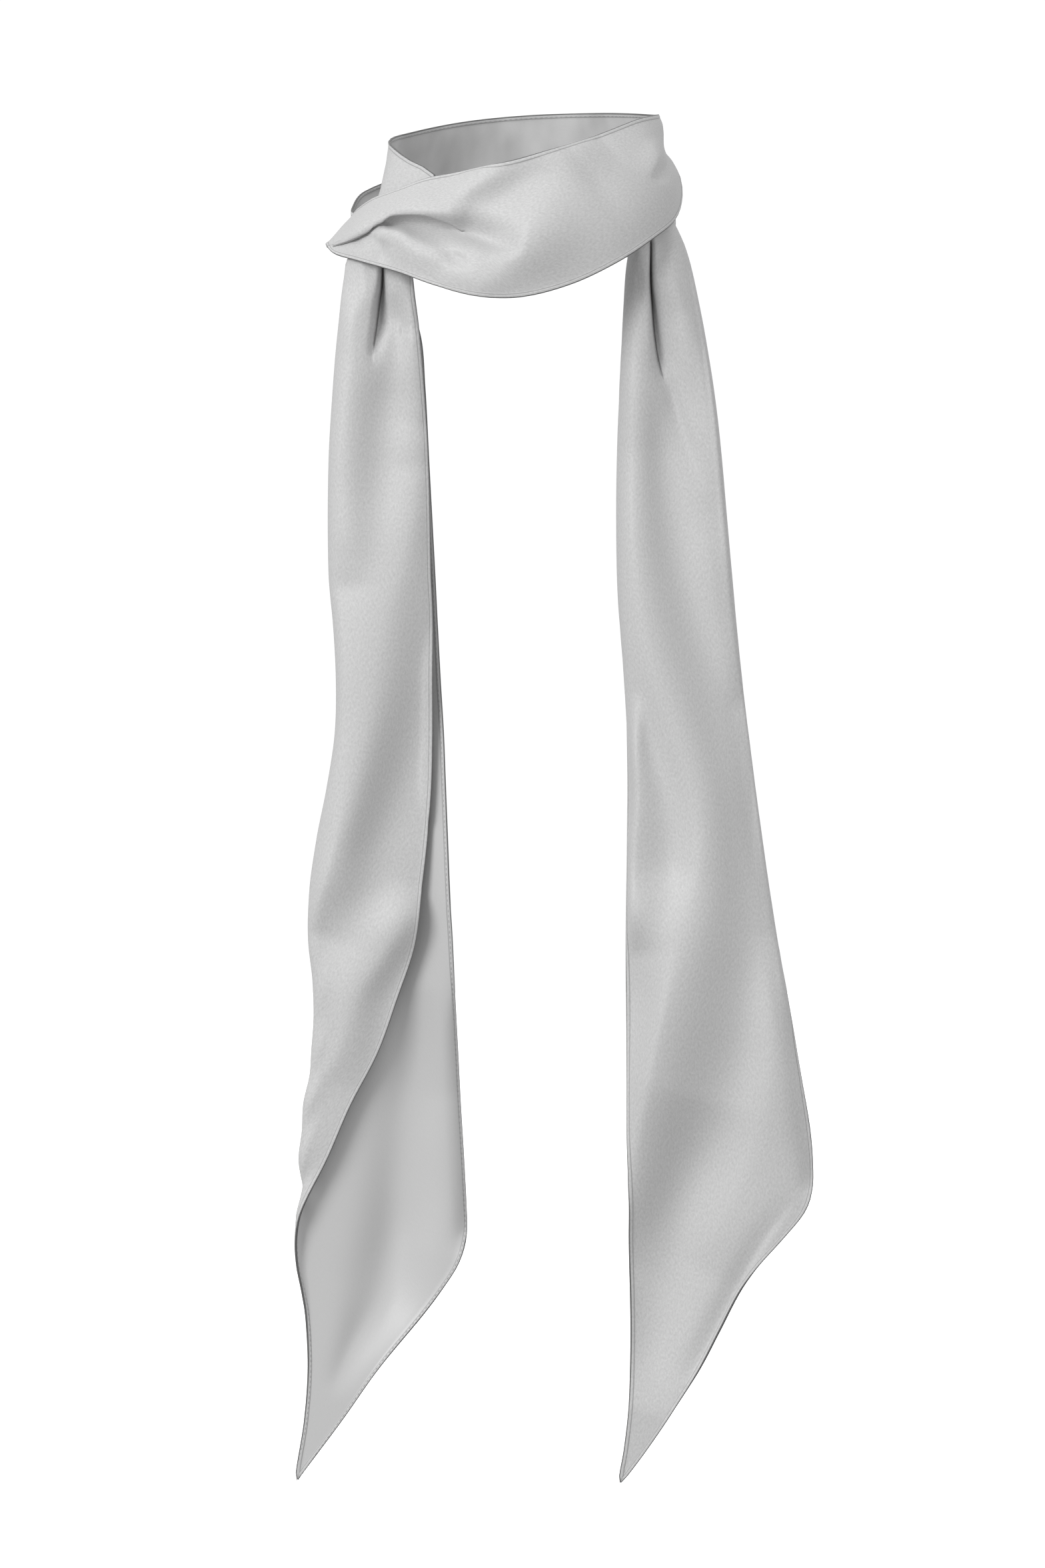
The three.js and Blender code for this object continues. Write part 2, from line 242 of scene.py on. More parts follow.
# The studio, in metres: the floor, how bright the background is, the strength of its light on the
# scarf from below and from above, what the lamps point at, and each lamp's name, place, size and power
FLOOR_HALF = 6
FLOOR_LEVEL = -0.8
BACKGROUND = 1.05
FILL = (0.4, 0.88)
LIT_POINT = (0, 0, -0.25)
LAMPS = [
    ("key", (-2.1, -2.34, 1.02), 1.5, 61),
    ("weak_right", (2.4, -1.9, 0.7), 1.5, 8),
]

# Folds as lines in the front view, which run downwards or from right to left. Each point has its place
# across and up, how far the cloth is raised there (or, below 0, sunk), and the fold's width on the
# upper left side of the line and on its lower right side.
LEFT_FRONT_FOLDS = [
    [  # slit between the two rolls at the top
        (-69.7, -35.7, -7, 1, 1), (-70.3, -47.3, -10, 1.3, 2.3), (-71.7, -57.3, -10, 1.7, 4.3),
        (-73, -67.3, -8, 1.7, 5.3), (-74.3, -77.3, -4, 2, 4.7), (-74.7, -85.7, 0, 2.7, 4),
    ],
    [  # roll on its left
        (-80.4, -35.5, 4, 3.3, 16.5), (-77.3, -51.1, 9, 10.5, 19.5), (-82.9, -64, 12, 12, 24),
        (-83.2, -84.4, 13, 13.5, 24.9), (-85.7, -104.2, 13, 13.7, 17.5), (-87.7, -137.4, 12, 15, 15.3),
        (-88.2, -170.6, 9, 16.5, 13.1), (-86.9, -197.2, 0, 18, 11.4),
    ],
    [  # roll on its right
        (-62, -35.5, 9, 9, 6.1), (-55.7, -49.5, 10, 9, 8.3), (-54.3, -63.4, 10, 5.8, 7.4),
        (-52, -90.3, 8.9, 10.4, 7.4), (-53, -117.1, 8, 15, 8.9), (-51.3, -137.1, 0, 11.9, 8.4),
    ],
    [  # long fold that crosses from the right hem to the left side
        (-48, -117.3, 0, 17.5, 9.2), (-52.9, -137.6, 9, 19.1, 11), (-55.8, -161.5, 12, 22.4, 14.7),
        (-61.6, -188.2, 13, 29.3, 17.5), (-68.7, -211.3, 13.8, 37.5, 21.4),
        (-74.5, -237.9, 14.5, 35.4, 24.3), (-77.9, -265, 14.4, 27.8, 19.1),
        (-84.9, -298.3, 13.5, 18.7, 15.5), (-92.1, -324.7, 12.1, 9.9, 14.6),
        (-98.5, -347.6, 9.7, 5.7, 17.8), (-104.4, -370.6, 0, 4.9, 19.1),
    ],
    [  # shorter fold below it
        (-51.5, -349.7, 0, 10.7, 9.3), (-59.5, -362.3, 7.5, 13, 12.3), (-72.1, -382.3, 7.3, 21, 10.4),
        (-82.9, -399.1, 7, 16.3, 11.4), (-88.6, -423.1, 4.5, 7.8, 13), (-94.8, -446, 0, 7.4, 14.5),
    ],
    [  # hem that lies close on the layer behind
        (-45.3, -170.7, 0, 8.1, 2.9), (-46.9, -204, 1, 8.6, 2.9), (-51.2, -237.4, -1.5, 10.1, 3.1),
        (-51.8, -270.6, -1.5, 12.2, 3), (-52.7, -303.6, -1.5, 15.9, 2.7), (-44.8, -331, -1.5, 11.8, 2.7),
        (-50.9, -371, -1.5, 9.5, 2.5), (-58.1, -390.7, -1.5, 10.8, 2.5), (-71.3, -431.3, -1, 10.5, 2.6),
        (-81.3, -454.3, -0.5, 7.7, 2.6), (-93.6, -479.2, 0.5, 7.4, 2.6), (-101.3, -494, 0, 7.4, 2.6),
    ],
]
LEFT_BACK_FOLDS = [
    [  # hollow down the reverse
        (-53.2, -397.3, 0, 8.1, 11.4), (-56.2, -420.5, -3, 9.4, 14.8), (-58.9, -443.7, -4.5, 9.4, 17.1),
        (-60.4, -471.1, -6, 12.8, 14.7), (-62.8, -497.8, -8, 12.8, 16.1), (-64.8, -525.2, -10.2, 14, 15.1),
        (-71, -552.7, -8.4, 14, 18.8), (-85.2, -578.1, -3.7, 7.1, 11.7), (-95.2, -601, 0, 4.7, 5.3),
    ],
    [  # right side that comes forward beside the hem
        (-40.7, -224, 0, 13.3, 6.7), (-38.7, -257.3, 6, 14.7, 6.7), (-36.3, -304, 8, 15.3, 6.7),
        (-34, -347.3, 8, 17.3, 6.7), (-32, -380.7, 7, 20, 6.7), (-30.7, -414, 4.5, 20, 6.7),
        (-29, -450.7, 0, 16.7, 6.7),
    ],
    [  # right side that bends away
        (-32.9, -354, 0, 3.8, 3.3), (-30.2, -387.2, -5.4, 3.5, 3.3), (-31.2, -420.7, -7.1, 4.2, 3.3),
        (-29, -454, -7.2, 4.9, 3.3), (-27.2, -487.3, -7.4, 5.3, 3.3), (-26.5, -514, -7.8, 5.5, 3.3),
        (-31.1, -530.5, 0, 4.3, 3.3),
    ],
]
RIGHT_FRONT_FOLDS = [
    [  # slit between the two rolls at the top
        (64, -24, -6, 1, 1), (64, -44, -8, 1, 1.3), (64.7, -57.3, -9, 1, 3),
        (65.7, -70.7, -8, 1.3, 4.3), (67.7, -84, -5, 2, 4), (70, -92.3, -2, 2.7, 3.3),
        (72, -100.7, 0, 3.3, 3.3),
    ],
    [  # crease that leaves the slit to the right
        (72, -90.7, 0, 3.3, 2), (74.7, -100.7, -2.5, 4, 2.7), (78, -112.3, -2.5, 4.7, 3.3),
        (84, -130.7, -2, 5, 4), (90.7, -150.7, 0, 5, 4.3),
    ],
    [  # long fold down the left side, across the middle and back
        (57.2, -27, 3, 3.4, 5.4), (62.5, -47.7, 2.2, 4.3, 11.6), (61.1, -64.3, 5.8, 7.5, 15.1),
        (58.2, -84.1, 7.5, 9.6, 10.1), (57, -104.1, 9.8, 9.5, 12.7), (56.3, -137.3, 10.8, 10.2, 11.8),
        (56.7, -170.5, 13.4, 11.3, 15.1), (59.9, -203.5, 14.4, 13.9, 18.4),
        (66.9, -236.2, 14.8, 16.6, 19.1), (78, -268.8, 15, 17.6, 17.7), (88, -302.7, 15.1, 17, 17.5),
        (89.9, -337.9, 15.2, 14.5, 19.8), (82.1, -372.1, 18.8, 24.8, 27.1),
        (71.9, -405.2, 18.9, 11.6, 31.3), (65, -438.3, 15.9, 9.6, 27.7), (59.2, -471.8, 11.4, 9.4, 22.8),
        (54, -505.8, 7.7, 9.2, 16.2), (42.4, -531.9, 0, 9, 22.2),
    ],
    [  # roll on the right of the slit
        (73, -10, 0, 5.7, 12.7), (75.3, -29.7, 3.7, 5.9, 13.4), (77.3, -46.3, 8.8, 10.1, 16.9),
        (83.3, -62.5, 10.3, 9.7, 18), (88.1, -82.5, 12, 12.3, 16.7), (93.8, -102.4, 12.9, 15.4, 16.7),
        (98.5, -130.1, 13.1, 20, 18.2), (97.4, -157.6, 9.1, 18.5, 27.6), (96.5, -183.7, 8.5, 13.9, 31),
        (98.6, -209.2, 6.3, 10.2, 24.8), (104.2, -235.8, 4.8, 7.1, 15.7), (108.7, -256, 0, 6.1, 14.5),
    ],
    [  # small fold at the left side
        (56.8, -250.5, 0, 2.1, 4.1), (55.7, -277.3, 8.4, 2.1, 6.6), (56.9, -304, 11, 2.1, 12.8),
        (54.9, -330.7, 11, 2.8, 20.4), (55, -357.3, 10, 4.3, 13.5), (57.5, -380.8, 0, 4.4, 12.1),
    ],
    [  # swell at the lower right
        (127.2, -370.9, 0, 10.7, 12.4), (126.5, -404.4, 5.9, 11.4, 12.1), (126.5, -438.5, 7.8, 13.5, 23.5),
        (121.7, -473.7, 6.8, 17.5, 34.5), (106.5, -507.2, 6.1, 16.6, 56.1), (90.4, -539.3, 0, 10.5, 64.6),
    ],
    [  # right side that bends away
        (80, -30.7, 0, 5.3, 1.3), (83.2, -44.1, -3, 5.5, 1.3), (88.3, -72.3, -3.8, 6.3, 1.6),
        (92.2, -100.9, -4.3, 11, 1.5), (94.4, -124.3, -3.9, 10.5, 2.2), (98, -164.2, -2.9, 9.8, 2.1),
        (102, -204.2, -1, 9.3, 2), (106.8, -244.2, -2, 7.6, 2), (112.5, -280.8, -2.5, 6.6, 2.1),
        (116.8, -322.6, -1.8, 5.3, 2), (123.5, -362.1, -0.9, 4.2, 2), (129, -401, -2.3, 4.6, 2.7),
        (138.8, -440.6, -3.8, 6.5, 2.8), (144.9, -470.4, -5.8, 8.7, 3), (146.9, -490.7, -6, 7.4, 3.1),
        (141.8, -504, 0, 6.7, 3.1),
    ],
    [  # top that lies close under the band
        (56.2, -4, 17, 26.7, 15), (56.2, -30.7, 15, 26.7, 18.3), (55.3, -57.3, 9, 27.3, 26.7),
        (57.5, -90.7, 4.6, 27.3, 36.7), (58, -130.7, 0, 27.3, 42),
    ],
    [  # hollow towards the tip
        (95.1, -454.9, 0, 35, 19.4), (85.3, -488.3, -7.6, 32.1, 25.8), (74, -520.7, -9.6, 31.9, 23.1),
        (66, -553.8, -9.6, 21, 22.1), (61.5, -584.3, -7.6, 19.2, 19.6), (54.2, -607.1, 0, 17.1, 28.3),
    ],
    [  # slanted side that bends away
        (137.1, -500.7, 0, 6.9, 2.6), (122, -520.7, -1.4, 7, 2.6), (109.6, -542.5, -2.1, 6.5, 2.6),
        (99.6, -562.9, -2.9, 6.7, 2.6), (88.9, -582.9, -2.1, 6.4, 2.6), (79.4, -597.8, 0, 6.5, 2.6),
    ],
]
BAND_FOLDS = [
    [  # lip of the roll over its crease
        (-30, -19.7, 0, 13.3, 3), (-33.7, -16.3, 1.5, 13.3, 2.7), (-37, -14.3, 2.5, 11.3, 1.7),
        (-41.3, -13, 2.5, 10, 1.3), (-47, -11.3, 2.5, 9.3, 1), (-52.3, -10.7, 2.5, 9.3, 1),
        (-59, -10.7, 2.5, 9.3, 1), (-64, -11, 2.5, 8.7, 1), (-67.3, -12, 2.5, 8, 1),
        (-71, -14.7, 2.5, 7.3, 1), (-74, -16, 2.5, 6.7, 1), (-77.3, -19, 2.5, 6, 1),
        (-81.3, -21.3, 2.5, 5.3, 1), (-87, -24, 2, 4.7, 1), (-93, -26.3, 1.8, 3.3, 1),
        (-98, -27.7, 1.2, 2.7, 1),
    ],
    [  # roll above the lip
        (-28, -14, 0, 11.3, 4.7), (-34.7, -10.7, 3, 10.7, 4.3), (-43, -8.3, 4.5, 10, 4),
        (-53, -7.3, 5.5, 9.3, 4), (-61.3, -7.7, 6, 9.3, 4), (-68.7, -10, 6, 8.7, 3.7),
        (-74.7, -13.3, 6, 7.3, 3.3), (-79.7, -17, 5.5, 6, 3), (-85.3, -20.3, 4.5, 4.7, 2.7),
        (-91.3, -23.3, 3, 3.3, 2.3), (-96, -25.7, 0, 2.7, 2),
    ],
    [  # hollow under the lip
        (-0.4, -27.7, 0, 7.9, 4.4), (-12.5, -25.4, -9.5, 9.1, 4.4), (-23.3, -21.8, -11.6, 8.1, 4.9),
        (-33, -18.9, -9.7, 6.6, 7.3), (-43, -17.5, -10, 4.7, 8.6), (-54.6, -15.3, -9.2, 2.1, 6.5),
        (-61.3, -15.8, -8, 3.1, 2.7), (-66.7, -16.8, -5.3, 2.1, 2), (-71.3, -16.6, 0.6, 2.2, 1.9),
        (-73.8, -21.9, 0, 2.2, 2),
    ],
    [  # ridge under the hollow
        (-36.7, -33.7, 0, 4, 6.7), (-42.5, -30.7, 2, 4, 8.7), (-49.2, -27, 3.8, 3.3, 10.7),
        (-57, -23, 5, 2.3, 11.3), (-61.3, -21, 5.8, 1.7, 10.7), (-65.4, -19.9, 6, 1.3, 8.7),
        (-69.3, -19.7, 6, 1.7, 6.7), (-72.5, -20.7, 4, 1.4, 4), (-75.8, -22.3, 0, 1.5, 2),
    ],
    [  # gather from the crease down to the hem
        (-70.7, -21.3, 0, 1.7, 1.7), (-71.7, -24.7, 1.5, 2, 2), (-72.7, -30, 1, 2, 2.3),
        (-74.7, -34.7, 0, 2, 2.3),
    ],
    [  # dip on its right
        (-67.3, -24.7, 0, 2, 2), (-69, -31, -1.5, 2, 2.3), (-70.7, -36.7, 0, 2, 2.3),
    ],
    [  # dip on its left
        (-80.3, -23.3, 0, 1.7, 1.7), (-82.3, -25.3, -1.2, 1.7, 2), (-83.7, -30, 0, 2, 2),
    ],
    [  # small dip under the ridge
        (-48.6, -25.6, 0, 2.6, 2.5), (-40.8, -28, -0.2, 3.1, 3), (-33.3, -33, -3.6, 3.2, 3.3),
        (-26.6, -36.7, 0, 3.4, 3.5),
    ],
    [  # main fold, from the top hem down to the low one
        (29.8, 13.8, 0, 20, 17.3), (22.9, 7, 4.5, 20, 21.9), (14.9, -3, 6.8, 16.7, 22.6),
        (7, -15.4, 8.6, 15.3, 21.8), (-0.1, -26.1, 7.2, 14, 19.4), (-9, -38, 4.3, 12.7, 12.1),
        (-20.6, -45.8, 3.7, 20, 11.1), (-27.9, -55.9, 0, 23.3, 10.8),
    ],
    [  # soft fold under the top hem
        (37.9, 27.6, 0, 6.9, 13.7), (29.1, 20.7, 7.5, 7.3, 13.7), (11.7, 20.8, 11, 7.6, 12),
        (-2.9, 18.1, 13.5, 7, 12), (-15.6, 10.9, 13.5, 6.2, 11.3), (-24.9, 5.8, 10.5, 5.3, 10),
        (-32.5, 0.1, 5, 5.3, 7.1), (-40.2, -6.3, 0, 5.3, 6.1),
    ],
    [  # fold down from the corner on the right
        (70.7, 27.3, 0, 6, 1), (70.3, 23.3, 2.5, 6.7, 1), (69, 18.7, 3.5, 7.3, 1),
        (67.3, 14.7, 3, 8, 1.3), (65, 10.7, 1.8, 8.7, 2), (62.3, 6, 0, 8.7, 2.7),
    ],
    [  # pocket beside it
        (74.7, 20.7, 0, 1.7, 3.3), (73, 16, -6, 1.7, 4), (71, 11.3, -6, 2, 4.7),
        (68, 4.7, 0, 2.3, 4.7),
    ],
]


def smooth(t):
    return t * t * (3 - 2 * t)


def beside_neck(turn, out, z):
    """A point beside the neck hollow: "out" from its edge at an angle round it, and at a height."""
    a = math.radians(turn)
    x = -(NECK_HALF_WIDTH + out) * math.sin(a)
    return np.array([x, -(NECK_HALF_DEPTH + out) * math.cos(a), z])


def wrap_section(row):
    """A section of the turns round the neck, as a function of the place across the strip."""
    top = beside_neck(row["turn"], row["top_out"], row["top_z"])
    low = beside_neck(row["low_turn"], row["low_out"], row["low_z"])
    middle = math.radians((row["turn"] + row["low_turn"]) / 2)
    outward = np.array([-math.sin(middle), -math.cos(middle), 0])

    def section(across):
        belly = row["belly"] * np.sin(np.pi * across)
        for fold in WRAP_FOLDS:
            t = (row["turn"] - fold["turn1"]) / (fold["turn2"] - fold["turn1"])
            fade = math.sin(math.pi * min(1, max(0, t)))
            centre = fold["across1"] + (fold["across2"] - fold["across1"]) * t
            belly = belly + fold["rise"] * fade * np.exp(-(((across - centre) / fold["width"]) ** 2))
        points = top + np.outer(across, low - top) + np.outer(belly, outward)
        return np.column_stack([points, np.zeros(len(across))])

    return section


def tail_section(row, turn_left, turn_right, tail_y, side):
    """A section of a tail: a flat layer whose margins turn round a loop at each side, to the front
    where "side" is -1 and behind where it is 1. Its points have how far round they are as well."""
    radius = row["loop"] / 2
    arc = math.pi * radius

    def reach(length):
        return radius * math.sin(min(length / radius, math.pi / 2))

    flat_left = row["left"] + reach(turn_left)
    flat_right = row["right"] - reach(turn_right)
    flat = max(0.2, flat_right - flat_left)
    total = turn_left + flat + turn_right

    def margin(length):
        length = np.maximum(length, 0)
        angle = np.minimum(length, arc) / radius
        out = radius * np.sin(angle) - np.maximum(0, length - arc)
        return out, side * radius * (1 - np.cos(angle)), angle / math.pi

    def section(across):
        place = across * total
        out_left, y_left, around_left = margin(turn_left - place)
        out_right, y_right, around_right = margin(place - turn_left - flat)
        x = flat_left + np.clip(place - turn_left, 0, flat) - out_left + out_right
        y = tail_y + (y_left + y_right)
        return np.column_stack([x, y, np.full(len(x), row["z"]), around_left + around_right])

    return section


def fold_place(row):
    """The place across the left tail where it turns round, kept away from its hems."""
    loop = math.pi * row["loop"] / 2
    total = row["over"] + max(0.1, row["right"] - row["left"] - row["loop"] / 2)
    return min(0.6, max(0.15, (row["over"] - loop / 2) / total))


class Strip:
    """The strip's sections in order, from the tip of the left tail to the tip of the right one."""

    def __init__(self):
        self.sections = [tail_section(r, r["over"], 0, LEFT_TAIL_Y, -1) for r in LEFT_TAIL]
        self.sections += [wrap_section(r) for r in WRAP]
        for r in RIGHT_TAIL:
            turned = r["behind_left"], r["behind_right"]
            self.sections.append(tail_section(r, *turned, RIGHT_TAIL_Y, 1))
        count = len(self.sections)
        plain = count - len(LEFT_TAIL)
        self.middles = [fold_place(r) for r in LEFT_TAIL] + [0.5] * plain
        middle = np.array([0.5])
        centres = np.array([s(middle)[0, :3] for s in self.sections])
        steps = np.linalg.norm(np.diff(centres, axis=0), axis=1)
        self.places = np.concatenate([[0], np.cumsum(steps)])
        self.left_top = self.places[len(LEFT_TAIL) - 1]
        self.right_top = self.places[len(LEFT_TAIL) + len(WRAP)]

    def span(self, along):
        """The section before a place along the strip, and how far it is to the next one."""
        i = int(np.searchsorted(self.places, along, side="right")) - 1
        i = min(max(i, 0), len(self.places) - 2)
        return i, (along - self.places[i]) / (self.places[i + 1] - self.places[i])

    def middle(self, along):
        """Where the middle column of cells runs."""
        i, t = self.span(along)
        t = smooth(min(1, max(0, t)))
        return self.middles[i] + (self.middles[i + 1] - self.middles[i]) * t

    def row(self, along, across):
        """Points across the strip at a place along it, on smooth curves through the sections."""
        i, t = self.span(along)
        last = len(self.sections) - 1
        length = self.places[i + 1] - self.places[i]

        def slope(k):
            before, after = max(0, k - 1), min(last, k + 1)
            rise = self.sections[after](across) - self.sections[before](across)
            return rise * (length / (self.places[after] - self.places[before]))

        t2, t3 = t * t, t * t * t
        points = self.sections[i](across) * (2 * t3 - 3 * t2 + 1)
        points += slope(i) * (t3 - 2 * t2 + t)
        points += self.sections[i + 1](across) * (3 * t2 - 2 * t3)
        return points + slope(i + 1) * (t3 - t2)


def fine_line(points, per_span=10):
    """A smooth line through a fold's points, cut into short pieces."""
    points = np.array(points, float)
    padded = np.vstack([2 * points[0] - points[1], points, 2 * points[-1] - points[-2]])
    result = []
    for i in range(len(points) - 1):
        a, b, c, d = padded[i : i + 4]
        for t in np.linspace(0, 1, per_span, endpoint=False):
            bend = (2 * a - 5 * b + 4 * c - d) * t * t + (3 * b - a - 3 * c + d) * t**3
            result.append(0.5 * (2 * b + (c - a) * t + bend))
    result.append(points[-1])
    return np.array(result)


def front_view(points):
    """Where the camera sees points, across and up, scaled as at the axis."""
    tilt = math.radians(VIEW_ANGLE)
    x, y, z = points[..., 0], points[..., 1], points[..., 2] - VIEW_CENTRE
    up = z * math.cos(tilt) + y * math.sin(tilt)
    depth = VIEW_DISTANCE + y * math.cos(tilt) - z * math.sin(tilt)
    return VIEW_DISTANCE * x / depth, VIEW_DISTANCE * up / depth + VIEW_CENTRE


def beside_line(fold, x, z):
    """Distance of points of the front view from a fold's line, above 0 on its lower right side, with
    the rise and the width there and the line's direction."""
    line = fine_line(fold)
    best = np.full(x.shape, 1e9)
    result = [np.zeros_like(x) for _ in range(5)]
    for p, q in zip(line[:-1], line[1:]):
        dx, dz = q[0] - p[0], q[1] - p[1]
        length = math.hypot(dx, dz)
        t = np.clip(((x - p[0]) * dx + (z - p[1]) * dz) / length**2, 0, 1)
        off_x, off_z = x - p[0] - t * dx, z - p[1] - t * dz
        far = np.hypot(off_x, off_z)
        nearer = far < best
        best = np.where(nearer, far, best)
        lower_side = dx * off_z - dz * off_x > 0
        rise, upper, lower = (p[k] + (q[k] - p[k]) * t for k in (2, 3, 4))
        found = (
            np.where(lower_side, far, -far),
            rise,
            np.where(lower_side, lower, upper),
            dx / length,
            dz / length,
        )
        result = [np.where(nearer, new, old) for new, old in zip(found, result)]
    return result


def fold_height(folds, x, z):
    """How far a list of folds raises each point of the front view."""
    total = np.zeros_like(x)
    for fold in folds:
        distance, rise, width, _, _ = beside_line(fold, x, z)
        total += rise * np.exp(-((distance / width) ** 2))
    return total


def overhang(fold, x, z):
    """Shift of points beside a fold that hangs over: the raised side moves over the lower side, which
    is tucked in under it."""
    distance, rise, _, dx, dz = beside_line(fold, x, z)
    share = np.clip(rise / 2, 0, 1)
    over = share * np.exp(-((distance / OVERHANG_WIDTH) ** 2))
    under = share * np.exp(-((distance / TUCK_WIDTH) ** 2))
    below = distance > TOUCH
    shift = np.where(below, -TUCK * under, OVERHANG * over)
    depth = np.where(below, -TUCK_DEPTH * under, 0)
    sideways = np.stack([-dz, np.zeros_like(x), dx], axis=-1)
    return shift[..., None] * sideways + depth[..., None] * FORWARD


def crossing(points, across, fold):
    """The place across the strip where a row of points crosses a fold's line, or None."""
    x, z = front_view(points)
    distance, rise, _, _, _ = beside_line(fold, x, z)
    signs = (distance[:-1] <= 0) & (distance[1:] > 0) & (np.abs(distance[:-1]) < NEAR)
    signs &= np.abs(rise[:-1]) > LEAST_RISE
    if not signs.any():
        return None
    i = int(np.argmax(signs))
    t = -distance[i] / (distance[i + 1] - distance[i])
    return across[i] + (across[i + 1] - across[i]) * t


def spread_guide(found, usual, ramp=26):
    """Places of a guiding column in each row: those found, and between them a slow change to the
    usual ones."""
    known = np.array([i for i, value in enumerate(found) if value is not None])
    result = np.array(usual, float)
    for i in range(len(found)):
        near = known[np.argmin(np.abs(known - i))]
        share = smooth(min(1, abs(near - i) / ramp))
        result[i] = found[near] * (1 - share) + usual[i] * share
    return result


def cloth_rows(strip):
    """The places of the cell rows along the strip: close in the tails and the front band."""
    first, last = BAND_TURNS
    band = [strip.places[len(LEFT_TAIL) + i] for i, r in enumerate(WRAP) if first < r["turn"] < last]
    stops = [0, strip.left_top, band[0], band[-1], strip.right_top, strip.places[-1]]
    rows = [np.array([0.0])]
    for start, end, cell in zip(stops[:-1], stops[1:], CELL_LENGTHS):
        rows.append(np.linspace(start, end, max(2, round((end - start) / cell)) + 1)[1:])
    return np.concatenate(rows)


def grid_normals(points):
    normals = np.cross(np.gradient(points, axis=0), np.gradient(points, axis=1))
    return normals / np.maximum(np.linalg.norm(normals, axis=-1, keepdims=True), 1e-9)


def column_guides(strip, alongs, turn):
    """Two places across the strip for each row that columns of cells keep to: a slit or crease, and
    the left tail's turned side."""
    across = np.linspace(GUIDE_GAP, 1 - GUIDE_GAP, 120)
    found = []
    usual = []
    second = []
    for along, angle in zip(alongs, turn):
        points = strip.row(along, across)[:, :3]
        middle = strip.middle(along)
        place = None
        if along < strip.left_top:
            front = across < middle
            place = crossing(points[front][::-1], across[front][::-1], LEFT_FRONT_FOLDS[0])
        elif along > strip.right_top:
            place = crossing(points, across, RIGHT_FRONT_FOLDS[0])
        elif CREASE_TURNS[0] < angle < CREASE_TURNS[1]:
            place = crossing(points, across, BAND_FOLDS[0])
        found.append(place)
        left = along < strip.left_top
        usual.append(middle / 2 if left else USUAL_GUIDES[0])
        second.append(middle if left else USUAL_GUIDES[1])
    second = np.array(second)
    return spread_guide(found, usual), second


def cloth_surface(settings):
    """Middle surface of the cloth as a grid of points in millimetres, and what goes with each point."""
    strip = Strip()
    alongs = cloth_rows(strip)
    hem = settings.hem_width / MM
    hem_steps = HEM_COLUMNS * hem
    wrap_places = strip.places[len(LEFT_TAIL) : len(LEFT_TAIL) + len(WRAP)]
    turn = np.interp(alongs, wrap_places, [r["turn"] for r in WRAP])
    first, second = column_guides(strip, alongs, turn)
    before, between, after = COLUMN_COUNTS
    rows = []
    for along, guide, fold in zip(alongs, first, second):
        probe = strip.row(along, np.linspace(0, 1, 41))[:, :3]
        length = np.linalg.norm(np.diff(probe, axis=0), axis=1).sum()
        margin = min(WIDEST_HEM, hem_steps[-1] / length)
        edge = hem_steps / hem_steps[-1] * margin
        guide = min(max(guide, margin + GUIDE_GAP), 1 - margin - 2 * GUIDE_GAP)
        fold = min(max(fold, guide + GUIDE_GAP), 1 - margin - GUIDE_GAP)
        across = np.concatenate([
            edge,
            np.linspace(margin, guide, before)[1:],
            np.linspace(guide + 2 * TOUCH / length, fold, between),
            np.linspace(fold, 1 - margin, after)[1:-1],
            (1 - edge)[::-1],
        ])
        rows.append(strip.row(along, across))
    grid = np.array(rows)
    points, around = grid[..., :3], grid[..., 3]
    normals = grid_normals(points)
    x, z = front_view(points)
    left = smooth(np.clip(1 - (alongs - strip.left_top) / FOLD_FADE, 0, 1))[:, None]
    right = smooth(np.clip(1 - (strip.right_top - alongs) / FOLD_FADE, 0, 1))[:, None]
    facing = np.clip(-normals[..., 1] * FACING_RAMP, 0, 1)
    band = ((turn > BAND_TURNS[0]) & (turn < BAND_TURNS[1]))[:, None] * facing
    front = smooth(np.clip(around, 0, 1))
    lift = left * front * fold_height(LEFT_FRONT_FOLDS, x, z)
    lift += left * (1 - front) * fold_height(LEFT_BACK_FOLDS, x, z)
    lift += right * (1 - front) * fold_height(RIGHT_FRONT_FOLDS, x, z)
    lift += band * fold_height(BAND_FOLDS, x, z)
    points = points + lift[..., None] * FORWARD
    points += band[..., None] * overhang(BAND_FOLDS[0], x, z)
    # Where the clouds of painted sheen go: the turns round the neck
    in_turns = (1 - left) * (1 - right)
    return {"points": points, "alongs": alongs, "in_turns": in_turns}


def set_inputs(node, values):
    for name, value in values.items():
        node.inputs[name].default_value = value


def add_node(tree, kind, values=None, **settings):
    """A node with settings of its own and values for its inputs."""
    node = tree.nodes.new(kind)
    for name, value in settings.items():
        setattr(node, name, value)
    set_inputs(node, values or {})
    return node


def link_nodes(tree, *links):
    """Links given as a node, its output, the next node and its input."""
    for source, output, target, entry in links:
        tree.links.new(source.outputs[output], target.inputs[entry])


def stitch_lines(surface, settings):
    """Lines of points along the middle of both hems on the reverse, as a mesh of edges with the way
    out of the cloth at each point."""
    reverse = -grid_normals(surface["points"])
    verts, outward, edges = [], [], []
    for column in (STITCH_COLUMN, -1 - STITCH_COLUMN):
        out = reverse[:, column]
        start = len(verts)
        verts.extend(surface["points"][:, column] + out * (settings.hem_thickness / MM / 2))
        outward.extend(out)
        edges.extend((i, i + 1) for i in range(start, len(verts) - 1))
    mesh = bpy.data.meshes.new("stitch_lines")
    mesh.from_pydata((np.array(verts) * MM).tolist(), edges, [])
    attribute = mesh.attributes.new("outward", "FLOAT_VECTOR", "POINT")
    attribute.data.foreach_set("vector", np.array(outward, np.float32).ravel())
    return mesh


